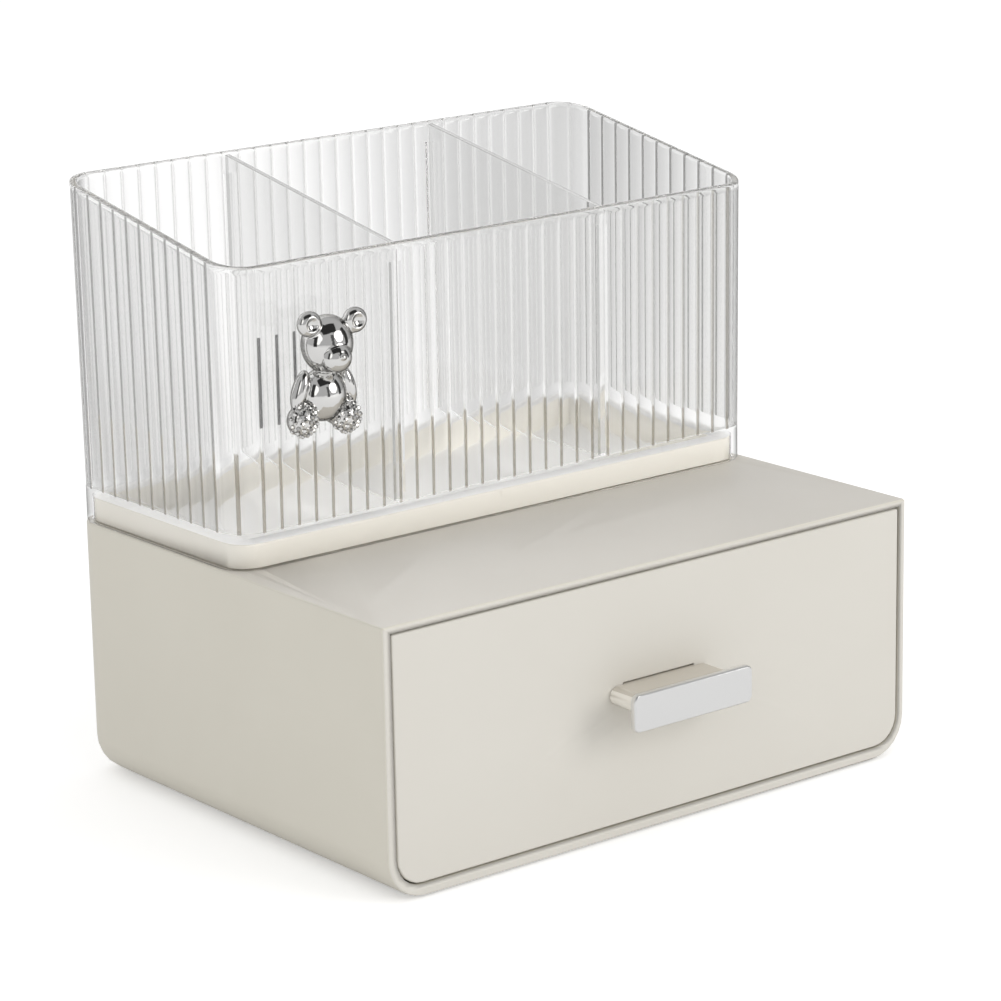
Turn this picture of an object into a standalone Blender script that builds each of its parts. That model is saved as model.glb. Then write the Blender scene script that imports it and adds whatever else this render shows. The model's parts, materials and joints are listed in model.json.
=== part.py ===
# Cosmetics organizer: a case with one drawer, and a clear cup of three compartments on its roof.
# Metres, +Z up, front towards -Y. The origin is under the middle of the object, on the plane it stands on.

import math

import bmesh
import bpy
from mathutils import Matrix, Vector

# Fits shared by all pieces
rest_gap = 0.0003
cutter_overrun = 0.001
weld_depth = 0.0006

# Case
case_width = 0.200
case_depth = 0.156
case_height = 0.0805
case_side_wall = 0.0026
case_roof_wall = 0.0020
case_floor_wall = 0.0032
case_back_wall = 0.0026
case_bottom_radius = 0.012
case_back_radius = 0.0105
case_front_edge = 0.0008
case_top_edge = 0.0005

# Feet
foot_radius = 0.0055
foot_height = 0.0016
foot_proud = 0.0008
foot_edge = 0.0004
foot_side_inset = 0.022
foot_end_inset = 0.016

# Drawer
drawer_front_gap = 0.0005
drawer_front_thickness = 0.0030
drawer_front_edge = 0.0004
drawer_front_top_radius = 0.0006
drawer_side_gap = 0.0012
drawer_rear_gap = 0.0005
drawer_wall = 0.0018
drawer_floor = 0.0020
drawer_inner_radius = 0.0070
slide_clearance = 0.0008

# Stops that keep the drawer from coming right out
stop_spacing = 0.090
stop_setback = 0.040
stop_width = 0.016
stop_thickness = 0.0018
stop_overlap = 0.0014

# Pull: plate, stem and its two screws
pull_height = 0.0432
plate_drop = 0.0010
plate_width = 0.0454
plate_height = 0.0113
plate_thickness = 0.0022
plate_corner_radius = 0.0022
plate_edge = 0.0004
stem_width = 0.038
stem_thickness = 0.0056
stem_reach = 0.0130
stem_tongue_thickness = 0.0009
slot_width = 0.0276
slot_depth = 0.0012
slot_open_height = 0.0006
stud_spacing = 0.026
stud_radius = 0.0009
stud_length = 0.0030
pull_screw_spacing = 0.018
pull_screw_radius = 0.0010
pull_screw_length = 0.0110
pull_screw_head_radius = 0.0020
pull_screw_head_height = 0.0012

# Base tray
tray_height = 0.0074
tray_rim_width = 0.0070
tray_pan_wall = 0.0018
tray_pan_sink = 0.0015
tray_pan_floor = 0.0020
tray_top_edge = 0.0004
tray_pan_radius = 0.0028
tray_inner_radius = 0.0016
catch_width = 0.0012
catch_height = 0.0020
catch_proud = 0.00015
tray_screw_spacing = 0.120
tray_screw_radius = 0.0011
tray_screw_length = 0.0070
tray_screw_head_radius = 0.0022
tray_screw_head_height = 0.0012

# Screw details
screw_steps = 16
screw_socket_radius = 0.0008
screw_socket_depth = 0.0006
screw_head_edge = 0.0003
screw_tip_length = 0.0006
screw_tip_radius = 0.0006

# Clear cup
cup_setback = 0.0689
cup_inset = 0.0003
cup_corner_radius = 0.0100
cup_wall = 0.0024
cup_floor = 0.0030
cup_skirt_wall = 0.0022
cup_draft = 0.0005
rim_front_height = 0.0890
rim_back_height = 0.1055
rim_edge = 0.0003
lip_height = 0.0012
flute_pitch = 0.0066
flute_depth = 0.00035
flute_runout = 0.0008
flute_points = 4

# Dividers and their guides
divider_spacing = 0.0792
divider_thickness = 0.0018
divider_top_edge = 0.0004
guide_thickness = 0.0010
guide_depth = 0.0022
guide_drop = 0.0060

# Bear charm: its place on the cup's front wall, then its forms from its flat back and lowest point
bear_inset = 0.0277
bear_lift = 0.0390
bear_turn = math.radians(-4)
bear_lean = math.radians(3.2)
pad_radius = 0.0045
pad_thickness = 0.0012
pad_height = 0.0125
body_place = (0.0, 0.0052, 0.0120)
body_radii = (0.0067, 0.0062, 0.0080)
head_place = (0.0, 0.0056, 0.0272)
head_radii = (0.0076, 0.0068, 0.0080)
snout_place = (0.0, 0.0104, 0.0240)
snout_radii = (0.0045, 0.0034, 0.0037)
nose_place = (0.0, 0.0137, 0.0246)
nose_radii = (0.0014, 0.0009, 0.0010)
ear_place = (0.0077, 0.0080, 0.0331)
ear_radii = (0.0039, 0.0025, 0.0038)
ear_dish_radius = 0.0027
ear_dish_lift = 0.0037
arm_place = (0.0077, 0.0056, 0.0138)
arm_radii = (0.0021, 0.0024, 0.0058)
arm_tilt = math.radians(17)
leg_place = (0.0046, 0.0050, 0.0062)
leg_radii = (0.0034, 0.0042, 0.0032)
foot_pad_place = (0.0073, 0.0066, 0.0050)
foot_pad_radii = (0.0041, 0.0039, 0.0043)

# How finely round shapes are divided
corner_steps = 6
edge_steps = 2
circle_steps = 24
ball_steps = 16
ball_rings = 10

# Places worked out from the sizes
pull_reach = stem_reach + rest_gap + plate_thickness
cup_overhang = cup_draft - cup_inset
front_y = pull_reach - (case_depth + pull_reach + cup_overhang) / 2
back_y = front_y + case_depth
case_half = case_width / 2
case_low = foot_proud
case_top = case_low + case_height
cavity_low = case_low + case_floor_wall
cavity_high = case_top - case_roof_wall
cavity_half = case_half - case_side_wall
cavity_back = back_y - case_back_wall
cavity_radius = case_bottom_radius - case_side_wall
cavity_back_radius = case_back_radius - case_back_wall
pull_z = case_low + pull_height
stem_top = pull_z + stem_thickness / 2
plate_z = pull_z - plate_drop

cup_half = case_half - cup_inset
cup_front = front_y + cup_setback
cup_back = back_y - cup_inset
cup_middle = (cup_front + cup_back) / 2
cup_half_depth = (cup_back - cup_front) / 2
tray_half = cup_half - cup_skirt_wall - rest_gap
tray_front = cup_front + cup_skirt_wall + rest_gap
tray_back = cup_back - cup_skirt_wall - rest_gap
tray_radius = cup_corner_radius - cup_skirt_wall - rest_gap
tray_foot = case_top + rest_gap
tray_top = case_top + tray_height
pan_low = case_top - tray_pan_sink - tray_pan_floor
pan_inset = tray_rim_width - tray_pan_wall
slab_low = tray_top + rest_gap
slab_top = slab_low + cup_floor

drawer_half = cavity_half - drawer_side_gap
drawer_low = cavity_low + rest_gap
drawer_y = front_y + drawer_front_thickness + rest_gap
drawer_back = cavity_back - drawer_rear_gap
catch_top = pan_low - slide_clearance
stop_low = catch_top - stop_overlap
drawer_top = stop_low - slide_clearance


def clear_scene():
    for obj in list(bpy.data.objects):
        bpy.data.objects.remove(obj, do_unlink=True)


def make_material(name, colour, roughness, metallic=0.0, transmission=0.0):
    material = bpy.data.materials.new(name)
    material.use_nodes = True
    shader = material.node_tree.nodes["Principled BSDF"]
    shader.inputs["Base Color"].default_value = (*colour, 1.0)
    shader.inputs["Roughness"].default_value = roughness
    shader.inputs["Metallic"].default_value = metallic
    shader.inputs["Transmission Weight"].default_value = transmission
    return material


def add_object(name, bm, material=None):
    bmesh.ops.recalc_face_normals(bm, faces=bm.faces[:])
    mesh = bpy.data.meshes.new(name)
    bm.to_mesh(mesh)
    bm.free()
    mesh.shade_smooth()
    mesh.set_sharp_from_angle(angle=math.radians(35))
    obj = bpy.data.objects.new(name, mesh)
    bpy.context.scene.collection.objects.link(obj)
    if material is None:
        obj.hide_render = True
        obj.display_type = "WIRE"
    else:
        mesh.materials.append(material)
    return obj


def combine(obj, other, operation):
    modifier = obj.modifiers.new(other.name, "BOOLEAN")
    modifier.solver = "EXACT"
    modifier.operation = operation
    modifier.object = other


def rounded_outline(low, high, radii, steps):
    # Corners run anticlockwise from the lower left one; each has its own radius and number of steps.
    centres = (
        (low[0] + radii[0], low[1] + radii[0]),
        (high[0] - radii[1], low[1] + radii[1]),
        (high[0] - radii[2], high[1] - radii[2]),
        (low[0] + radii[3], high[1] - radii[3]),
    )
    points = []
    for corner, (centre, radius, count) in enumerate(zip(centres, radii, steps)):
        for step in range(count + 1):
            angle = math.pi + (corner + step / count) * math.pi / 2
            points.append((centre[0] + radius * math.cos(angle), centre[1] + radius * math.sin(angle)))
    return points


def circle(radius, steps):
    return [
        (radius * math.cos(math.tau * step / steps), radius * math.sin(math.tau * step / steps))
        for step in range(steps)
    ]


def flat_ring(outline, z):
    return [(x, y, z) for x, y in outline]


def upright_ring(outline, y):
    return [(x, y, z) for x, z in outline]


def loft(name, rings, material=None):
    bm = bmesh.new()
    loops = [[bm.verts.new(point) for point in ring] for ring in rings]
    for lower, upper in zip(loops, loops[1:]):
        for index in range(len(lower)):
            after = (index + 1) % len(lower)
            bm.faces.new((lower[index], lower[after], upper[after], upper[index]))
    bm.faces.new(loops[0][::-1])
    bm.faces.new(loops[-1])
    return add_object(name, bm, material)


def blocks(name, boxes, material=None):
    bm = bmesh.new()
    for low, high in boxes:
        low = Vector(low)
        size = Vector(high) - low
        place = Matrix.Translation(low + size / 2) @ Matrix.Diagonal((*size, 1.0))
        bmesh.ops.create_cube(bm, size=1.0, matrix=place)
    return add_object(name, bm, material)


def rods(name, ends, radius, steps):
    # Closed round bars between pairs of points, in one mesh.
    bm = bmesh.new()
    for start, end in ends:
        start = Vector(start)
        reach = Vector(end) - start
        turn = Vector((0, 0, 1)).rotation_difference(reach).to_matrix().to_4x4()
        place = Matrix.Translation(start + reach / 2) @ turn
        bmesh.ops.create_cone(
            bm,
            cap_ends=True,
            segments=steps,
            radius1=radius,
            radius2=radius,
            depth=reach.length,
            matrix=place,
        )
    return add_object(name, bm)


def ball(name, place, radii, material=None, tilt=0.0):
    # The second value of a place is how far the ball stands out towards the front.
    bm = bmesh.new()
    centre = Matrix.Translation((place[0], -place[1], place[2]))
    turn = Matrix.Rotation(tilt, 4, "Y")
    shape = Matrix.Diagonal((*radii, 1.0))
    bmesh.ops.create_uvsphere(
        bm, u_segments=ball_steps, v_segments=ball_rings, radius=1.0, matrix=centre @ turn @ shape
    )
    return add_object(name, bm, material)


def shell_rings(half, front, back, radii, low, high, bottom_radius):
    # Level rings of a box whose bottom edges are rounded at its two sides only.
    steps = (edge_steps, edge_steps, corner_steps, corner_steps)
    rings = []
    for step in range(corner_steps + 1):
        angle = math.pi / 2 * step / corner_steps
        side = half - bottom_radius * (1 - math.sin(angle))
        height = low + bottom_radius * (1 - math.cos(angle))
        outline = rounded_outline((-side, front), (side, back), radii, steps)
        rings.append(flat_ring(outline, height))
    outline = rounded_outline((-half, front), (half, back), radii, steps)
    rings.append(flat_ring(outline, high))
    return rings


def make_case(material):
    radii = (case_front_edge, case_front_edge, case_back_radius, case_back_radius)
    rings = shell_rings(
        case_half, front_y, back_y, radii, case_low, case_top - case_top_edge, case_bottom_radius
    )
    top = rounded_outline(
        (-case_half + case_top_edge, front_y + case_top_edge),
        (case_half - case_top_edge, back_y - case_top_edge),
        [radius - case_top_edge for radius in radii],
        (edge_steps, edge_steps, corner_steps, corner_steps),
    )
    case = loft("case_shell", rings + [flat_ring(top, case_top)], material)

    radii = (case_front_edge, case_front_edge, cavity_back_radius, cavity_back_radius)
    cavity = loft(
        "case_cavity_cutter",
        shell_rings(
            cavity_half,
            front_y - cutter_overrun,
            cavity_back,
            radii,
            cavity_low,
            cavity_high,
            cavity_radius,
        ),
    )
    combine(case, cavity, "DIFFERENCE")

    opening = rounded_outline(
        (-tray_half + pan_inset - rest_gap, tray_front + pan_inset - rest_gap),
        (tray_half - pan_inset + rest_gap, tray_back - pan_inset + rest_gap),
        [tray_pan_radius + rest_gap] * 4,
        [corner_steps] * 4,
    )
    roof_cutter = loft(
        "roof_opening_cutter",
        [
            flat_ring(opening, cavity_high - cutter_overrun),
            flat_ring(opening, case_top + cutter_overrun),
        ],
    )
    combine(case, roof_cutter, "DIFFERENCE")

    holes = [
        ((x, y, cavity_high - cutter_overrun), (x, y, case_top + cutter_overrun))
        for x, y in tray_screw_places()
    ]
    combine(case, rods("roof_hole_cutter", holes, tray_screw_radius + rest_gap, screw_steps), "DIFFERENCE")

    recess_top = foot_height + rest_gap
    recesses = [((x, y, case_low - cutter_overrun), (x, y, recess_top)) for x, y in foot_places()]
    combine(case, rods("foot_recess_cutter", recesses, foot_radius + rest_gap, circle_steps), "DIFFERENCE")

    stops = [
        (
            (x - stop_width / 2, front_y + stop_setback, stop_low),
            (x + stop_width / 2, front_y + stop_setback + stop_thickness, cavity_high + weld_depth),
        )
        for x in (-stop_spacing / 2, stop_spacing / 2)
    ]
    combine(case, blocks("roof_stops", stops), "UNION")


def foot_places():
    side = case_half - foot_side_inset
    return [
        (x, y)
        for y in (front_y + foot_end_inset, back_y - foot_end_inset)
        for x in (-side, side)
    ]


def make_feet(material):
    names = ("foot_front_left", "foot_front_right", "foot_back_left", "foot_back_right")
    for name, (x, y) in zip(names, foot_places()):
        profile = (
            (foot_radius - foot_edge, 0.0),
            (foot_radius, foot_edge),
            (foot_radius, foot_height),
        )
        foot = loft(name, [flat_ring(circle(radius, circle_steps), z) for radius, z in profile], material)
        foot.location = (x, y, 0)


def tray_screw_places():
    middle = pan_inset / 2
    return [
        (x, y)
        for y in (tray_front + middle, tray_back - middle)
        for x in (-tray_screw_spacing / 2, tray_screw_spacing / 2)
    ]


def tray_outline(inset, radius):
    return rounded_outline(
        (-tray_half + inset, tray_front + inset),
        (tray_half - inset, tray_back - inset),
        [radius] * 4,
        [corner_steps] * 4,
    )


def make_tray(material):
    floor_top = case_top - tray_pan_sink
    stages = (
        (pan_inset, tray_pan_radius, pan_low),
        (pan_inset, tray_pan_radius, tray_foot),
        (0.0, tray_radius, tray_foot),
        (0.0, tray_radius, tray_top - tray_top_edge),
        (tray_top_edge, tray_radius - tray_top_edge, tray_top),
        (tray_rim_width, tray_inner_radius, tray_top),
        (tray_rim_width, tray_inner_radius, floor_top),
    )
    rings = [flat_ring(tray_outline(inset, radius), z) for inset, radius, z in stages]
    tray = loft("base_tray", rings, material)

    bore_top = cavity_high + tray_screw_length
    bores = [((x, y, tray_foot - cutter_overrun), (x, y, bore_top)) for x, y in tray_screw_places()]
    combine(tray, rods("tray_bore_cutter", bores, tray_screw_radius + rest_gap, screw_steps), "DIFFERENCE")

    catch_z = tray_top - tray_top_edge - catch_height
    catch = (
        (-catch_width / 2, tray_front - catch_proud, catch_z),
        (catch_width / 2, tray_front + weld_depth, catch_z + catch_height),
    )
    combine(tray, blocks("tray_catch", [catch]), "UNION")


def make_screw(name, radius, length, head_radius, head_height, material):
    # Stands on its head's bearing face at its origin, shank towards +Z.
    profile = (
        (screw_socket_radius, screw_socket_depth - head_height),
        (screw_socket_radius, -head_height),
        (head_radius - screw_head_edge, -head_height),
        (head_radius, screw_head_edge - head_height),
        (head_radius, 0.0),
        (radius, 0.0),
        (radius, length - screw_tip_length),
        (screw_tip_radius, length),
    )
    return loft(name, [flat_ring(circle(r, screw_steps), z) for r, z in profile], material)


def make_tray_screws(material):
    names = (
        "tray_screw_front_left",
        "tray_screw_front_right",
        "tray_screw_back_left",
        "tray_screw_back_right",
    )
    for name, (x, y) in zip(names, tray_screw_places()):
        screw = make_screw(
            name,
            tray_screw_radius,
            tray_screw_length,
            tray_screw_head_radius,
            tray_screw_head_height,
            material,
        )
        screw.location = (x, y, cavity_high - rest_gap)


def cup_stretches():
    # Straight sides and corner arcs, anticlockwise from the front, each with its number of flutes.
    long_side = 2 * (cup_half - cup_corner_radius)
    short_side = 2 * (cup_half_depth - cup_corner_radius)
    arc = math.pi / 2 * cup_corner_radius
    counts = [max(1, round(length / flute_pitch)) for length in (long_side, arc, short_side)]
    return [
        (side, kind, counts[1] if kind == "corner" else counts[2 * (side % 2)])
        for side in range(4)
        for kind in ("straight", "corner")
    ]


def cup_ring(grow, depth, height):
    # grow moves the outline outwards, depth is how far the flutes dip in, height gives Z from Y.
    half = (cup_half + grow, cup_half_depth + grow)
    radius = cup_corner_radius + grow
    ring = []
    for side, kind, flutes in cup_stretches():
        turn = Matrix.Rotation(side * math.pi / 2, 2)
        along, out = (half[0], half[1]) if side % 2 == 0 else (half[1], half[0])
        for step in range(flutes * flute_points):
            share = step / (flutes * flute_points)
            if kind == "straight":
                base = Vector(((along - radius) * (2 * share - 1), -out))
                normal = Vector((0, -1))
            else:
                angle = (share - 1) * math.pi / 2
                normal = Vector((math.cos(angle), math.sin(angle)))
                base = Vector((along - radius, radius - out)) + normal * radius
            across = step % flute_points / flute_points
            point = turn @ (base - normal * depth * 4 * across * (1 - across))
            y = point.y + cup_middle
            ring.append((point.x, y, height(y)))
    return ring


def rim_height(y):
    share = (y - cup_front) / (cup_back - cup_front)
    return case_top + rim_front_height + (rim_back_height - rim_front_height) * share


def make_cup(material):
    rings = [
        cup_ring(-cup_skirt_wall, 0.0, lambda y: slab_low),
        cup_ring(-cup_skirt_wall, 0.0, lambda y: case_top + rest_gap),
        cup_ring(0.0, 0.0, lambda y: case_top + rest_gap),
        cup_ring(0.0, 0.0, lambda y: slab_top),
        cup_ring(0.0, flute_depth, lambda y: slab_top + flute_runout),
        cup_ring(cup_draft, flute_depth, lambda y: rim_height(y) - lip_height - flute_runout),
        cup_ring(cup_draft, 0.0, lambda y: rim_height(y) - lip_height),
        cup_ring(cup_draft, 0.0, lambda y: rim_height(y) - rim_edge),
        cup_ring(cup_draft - rim_edge, 0.0, rim_height),
        cup_ring(cup_draft - cup_wall, 0.0, rim_height),
        cup_ring(-cup_wall, 0.0, lambda y: slab_top),
    ]
    cup = loft("organizer_cup", rings, material)

    guides = []
    step = divider_thickness / 2 + rest_gap
    for x in (-divider_spacing / 2, divider_spacing / 2):
        for low_x in (x - step - guide_thickness, x + step):
            for wall_y, inwards in ((cup_front + cup_wall, 1), (cup_back - cup_wall, -1)):
                ends = sorted((wall_y - inwards * (cup_draft + weld_depth), wall_y + inwards * guide_depth))
                guides.append(
                    (
                        (low_x, ends[0], slab_top - weld_depth),
                        (low_x + guide_thickness, ends[1], rim_height(wall_y) - guide_drop),
                    )
                )
    combine(cup, blocks("divider_guides", guides), "UNION")


def make_dividers(material):
    # The plate's outline follows the cup's draft and its sloping rim.
    low_z = slab_top + rest_gap
    front_low = cup_front + cup_wall + rest_gap
    back_low = cup_back - cup_wall - rest_gap
    front_top = front_low - cup_draft
    back_top = back_low + cup_draft
    for name, x in (("divider_left", -divider_spacing / 2), ("divider_right", divider_spacing / 2)):
        rings = []
        for side, inset in (
            (-divider_thickness / 2, divider_top_edge),
            (divider_top_edge - divider_thickness / 2, 0.0),
            (divider_thickness / 2 - divider_top_edge, 0.0),
            (divider_thickness / 2, divider_top_edge),
        ):
            rings.append(
                [
                    (side, front_low, low_z),
                    (side, back_low, low_z),
                    (side, back_top, rim_height(back_top) - inset),
                    (side, front_top, rim_height(front_top) - inset),
                ]
            )
        divider = loft(name, rings, material)
        divider.location.x = x


def make_bear(bear_material, pad_material):
    wall_growth = cup_draft * (bear_lift + pad_height) / rim_front_height
    pad_back = cup_front - wall_growth - rest_gap
    pad_front = pad_back - pad_thickness
    bear_back = pad_front - rest_gap
    base_z = case_top + bear_lift
    bear_x = bear_inset - case_half

    bear = ball("bear_charm", body_place, body_radii, bear_material)
    bear.location = (bear_x, bear_back, base_z)
    bear.rotation_euler = (0, bear_lean, bear_turn)
    parts = [
        ("bear_head", head_place, head_radii, 0.0),
        ("bear_snout", snout_place, snout_radii, 0.0),
        ("bear_nose", nose_place, nose_radii, 0.0),
    ]
    for side, word in ((-1, "left"), (1, "right")):
        for part, place, radii, tilt in (
            ("ear", ear_place, ear_radii, 0.0),
            ("arm", arm_place, arm_radii, arm_tilt),
            ("leg", leg_place, leg_radii, 0.0),
            ("foot", foot_pad_place, foot_pad_radii, 0.0),
        ):
            parts.append(
                (f"bear_{part}_{word}", (side * place[0], place[1], place[2]), radii, -side * tilt)
            )
    for name, place, radii, tilt in parts:
        piece = ball(name, place, radii, tilt=tilt)
        piece.parent = bear
        combine(bear, piece, "UNION")
    for side, word in ((-1, "left"), (1, "right")):
        place = (side * ear_place[0], ear_place[1] + ear_dish_lift, ear_place[2])
        dish = ball(f"ear_dish_{word}", place, [ear_dish_radius] * 3)
        dish.parent = bear
        combine(bear, dish, "DIFFERENCE")

    # Flat back, square to the wall behind it
    reach = head_place[2] + head_radii[2] + ear_radii[2]
    back_cut = (
        (bear_x - reach, bear_back, base_z - reach),
        (bear_x + reach, bear_back + reach, base_z + 2 * reach),
    )
    combine(bear, blocks("bear_back_cutter", [back_cut]), "DIFFERENCE")

    outline = [(bear_x + x, base_z + pad_height + z) for x, z in circle(pad_radius, circle_steps)]
    loft("bear_pad", [upright_ring(outline, pad_back), upright_ring(outline, pad_front)], pad_material)


def pull_screw_places():
    return [(-pull_screw_spacing / 2, pull_z), (pull_screw_spacing / 2, pull_z)]


def make_drawer_front(material):
    half = cavity_half - drawer_front_gap
    low_z = cavity_low + drawer_front_gap
    high_z = cavity_high - drawer_front_gap
    low_radius = cavity_radius - drawer_front_gap
    steps = (corner_steps, corner_steps, edge_steps, edge_steps)
    rings = []
    for inset, y in (
        (0.0, front_y + drawer_front_thickness),
        (0.0, front_y + drawer_front_edge),
        (drawer_front_edge, front_y),
    ):
        outline = rounded_outline(
            (-half + inset, low_z + inset),
            (half - inset, high_z - inset),
            [radius - inset for radius in (low_radius, low_radius, *[drawer_front_top_radius] * 2)],
            steps,
        )
        rings.append(upright_ring(outline, y))
    panel = loft("drawer_front", rings, material)

    slot = (
        (-slot_width / 2, front_y - cutter_overrun, stem_top - stem_tongue_thickness - rest_gap),
        (slot_width / 2, front_y + slot_depth, stem_top + slot_open_height),
    )
    combine(panel, blocks("pull_slot_cutter", [slot]), "DIFFERENCE")
    combine(panel, pull_hole_cutter("panel_hole_cutter"), "DIFFERENCE")


def pull_hole_cutter(name):
    holes = [
        ((x, front_y - cutter_overrun, z), (x, drawer_y + drawer_wall + cutter_overrun, z))
        for x, z in pull_screw_places()
    ]
    return rods(name, holes, pull_screw_radius + rest_gap, screw_steps)


def make_drawer_body(material):
    low_radius = cavity_radius - rest_gap
    back_radius = cavity_back_radius - drawer_rear_gap
    outer_radii = (case_front_edge, case_front_edge, back_radius, back_radius)
    inner_radii = (
        case_front_edge,
        case_front_edge,
        back_radius - drawer_wall,
        back_radius - drawer_wall,
    )
    outside = shell_rings(
        drawer_half, drawer_y, drawer_back, outer_radii, drawer_low, drawer_top, low_radius
    )
    inside = shell_rings(
        drawer_half - drawer_wall,
        drawer_y + drawer_wall,
        drawer_back - drawer_wall,
        inner_radii,
        drawer_low + drawer_floor,
        drawer_top,
        drawer_inner_radius,
    )
    body = loft("drawer_body", outside + inside[::-1], material)

    catches = [
        (
            (x - stop_width / 2, drawer_back - stop_thickness, drawer_top - weld_depth),
            (x + stop_width / 2, drawer_back, catch_top),
        )
        for x in (-stop_spacing / 2, stop_spacing / 2)
    ]
    combine(body, blocks("drawer_catches", catches), "UNION")
    combine(body, pull_hole_cutter("body_hole_cutter"), "DIFFERENCE")


def make_stem(material):
    radius = stem_thickness / 2
    outline = rounded_outline(
        (-stem_width / 2, pull_z - radius),
        (stem_width / 2, pull_z + radius),
        [radius] * 4,
        [corner_steps] * 4,
    )
    # The two ends are half round, so the arcs' shared points at mid height are kept once.
    points = list(dict.fromkeys((round(x, 9), round(z, 9)) for x, z in outline))
    root_y = front_y - rest_gap
    rings = [upright_ring(points, root_y), upright_ring(points, front_y - stem_reach)]
    stem = loft("handle_stem", rings, material)

    tongue_half = slot_width / 2 - rest_gap
    tongue = (
        (-tongue_half, root_y - weld_depth, stem_top - stem_tongue_thickness),
        (tongue_half, front_y + slot_depth - rest_gap, stem_top),
    )
    combine(stem, blocks("stem_tongue", [tongue]), "UNION")

    bore_end = drawer_y + drawer_wall - pull_screw_length
    bores = [((x, root_y + cutter_overrun, z), (x, bore_end, z)) for x, z in pull_screw_places()]
    combine(stem, rods("stem_bore_cutter", bores, pull_screw_radius + rest_gap, screw_steps), "DIFFERENCE")

    stem_end = front_y - stem_reach
    sockets = [
        ((x, stem_end - cutter_overrun, pull_z), (x, stem_end + stud_length, pull_z))
        for x in (-stud_spacing / 2, stud_spacing / 2)
    ]
    combine(stem, rods("stud_socket_cutter", sockets, stud_radius + rest_gap, screw_steps), "DIFFERENCE")


def make_plate(material):
    back = front_y - stem_reach - rest_gap
    front = back - plate_thickness
    rings = []
    for inset, y in (
        (plate_edge, back),
        (0.0, back - plate_edge),
        (0.0, front + plate_edge),
        (plate_edge, front),
    ):
        outline = rounded_outline(
            (inset - plate_width / 2, plate_z - plate_height / 2 + inset),
            (plate_width / 2 - inset, plate_z + plate_height / 2 - inset),
            [plate_corner_radius - inset] * 4,
            [corner_steps] * 4,
        )
        rings.append(upright_ring(outline, y))
    plate = loft("handle_plate", rings, material)
    studs = [
        ((x, back - weld_depth, pull_z), (x, back + stud_length - rest_gap, pull_z))
        for x in (-stud_spacing / 2, stud_spacing / 2)
    ]
    combine(plate, rods("plate_studs", studs, stud_radius, screw_steps), "UNION")


def make_pull_screws(material):
    names = ("handle_screw_left", "handle_screw_right")
    for name, (x, z) in zip(names, pull_screw_places()):
        screw = make_screw(
            name,
            pull_screw_radius,
            pull_screw_length,
            pull_screw_head_radius,
            pull_screw_head_height,
            material,
        )
        screw.rotation_euler.x = math.pi / 2
        screw.location = (x, drawer_y + drawer_wall + rest_gap, z)


def main():
    clear_scene()
    cream = make_material("cream_plastic", (0.72, 0.69, 0.61), 0.42)
    light_cream = make_material("light_cream_plastic", (0.78, 0.75, 0.67), 0.40)
    clear = make_material("clear_plastic", (0.97, 0.98, 0.98), 0.03, transmission=1.0)
    chrome = make_material("chrome", (0.80, 0.80, 0.80), 0.06, metallic=1.0)
    satin = make_material("satin_metal", (0.74, 0.75, 0.76), 0.28, metallic=1.0)
    steel = make_material("screw_steel", (0.55, 0.55, 0.55), 0.35, metallic=1.0)
    soft = make_material("soft_foot", (0.62, 0.61, 0.58), 0.75)
    adhesive = make_material("adhesive_pad", (0.85, 0.85, 0.84), 0.5)

    make_case(cream)
    make_feet(soft)
    make_tray(light_cream)
    make_tray_screws(steel)
    make_cup(clear)
    make_dividers(clear)
    make_bear(chrome, adhesive)
    make_drawer_body(cream)
    make_drawer_front(light_cream)
    make_stem(cream)
    make_plate(satin)
    make_pull_screws(steel)


main()
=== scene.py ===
import json
import math

import bmesh
import bpy
from mathutils import Matrix, Vector

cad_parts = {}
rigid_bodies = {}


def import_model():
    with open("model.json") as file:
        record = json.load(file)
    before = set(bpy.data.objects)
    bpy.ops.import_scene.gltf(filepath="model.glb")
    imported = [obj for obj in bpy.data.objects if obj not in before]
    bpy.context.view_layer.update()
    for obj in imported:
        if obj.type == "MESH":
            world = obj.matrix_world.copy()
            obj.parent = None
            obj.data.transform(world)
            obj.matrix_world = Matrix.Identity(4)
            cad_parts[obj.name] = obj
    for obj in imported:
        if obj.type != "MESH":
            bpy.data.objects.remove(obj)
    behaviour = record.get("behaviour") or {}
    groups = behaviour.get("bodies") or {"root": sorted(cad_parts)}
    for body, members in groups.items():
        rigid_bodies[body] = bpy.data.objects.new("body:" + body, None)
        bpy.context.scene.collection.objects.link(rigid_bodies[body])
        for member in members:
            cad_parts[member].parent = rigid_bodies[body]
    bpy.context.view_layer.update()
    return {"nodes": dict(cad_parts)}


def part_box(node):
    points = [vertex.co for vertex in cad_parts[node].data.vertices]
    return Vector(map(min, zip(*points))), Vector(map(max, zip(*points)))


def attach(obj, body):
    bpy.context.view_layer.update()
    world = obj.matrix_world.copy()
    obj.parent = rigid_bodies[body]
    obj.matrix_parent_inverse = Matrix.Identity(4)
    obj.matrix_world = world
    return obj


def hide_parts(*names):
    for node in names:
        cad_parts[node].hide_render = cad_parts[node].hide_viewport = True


for leftover in list(bpy.data.objects):  # the startup file's cube, lamp and camera
    bpy.data.objects.remove(leftover, do_unlink=True)
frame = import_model()
print("frame loaded:", len(frame["nodes"]), "nodes")

scene = bpy.context.scene
scene.view_settings.view_transform = "Standard"
scene.cycles.max_bounces = 32  # light turns many times inside the clear walls
scene.cycles.glossy_bounces = 32
scene.cycles.transmission_bounces = 32
scene.cycles.transparent_max_bounces = 32

# Angles in degrees, lengths in metres; the target is a point level with the drawer's front
cameraView = {
    "target": (-0.0981, -0.0704, 0.1159),
    "azimuth": -36.87,
    "elevation": 15.18,
    "roll": -1.57,
    "distance": 1.008,
    "lens": 133.8,
    "shift": (0.1157, 0.0051),
    "clip": (0.05, 20),
}


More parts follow.
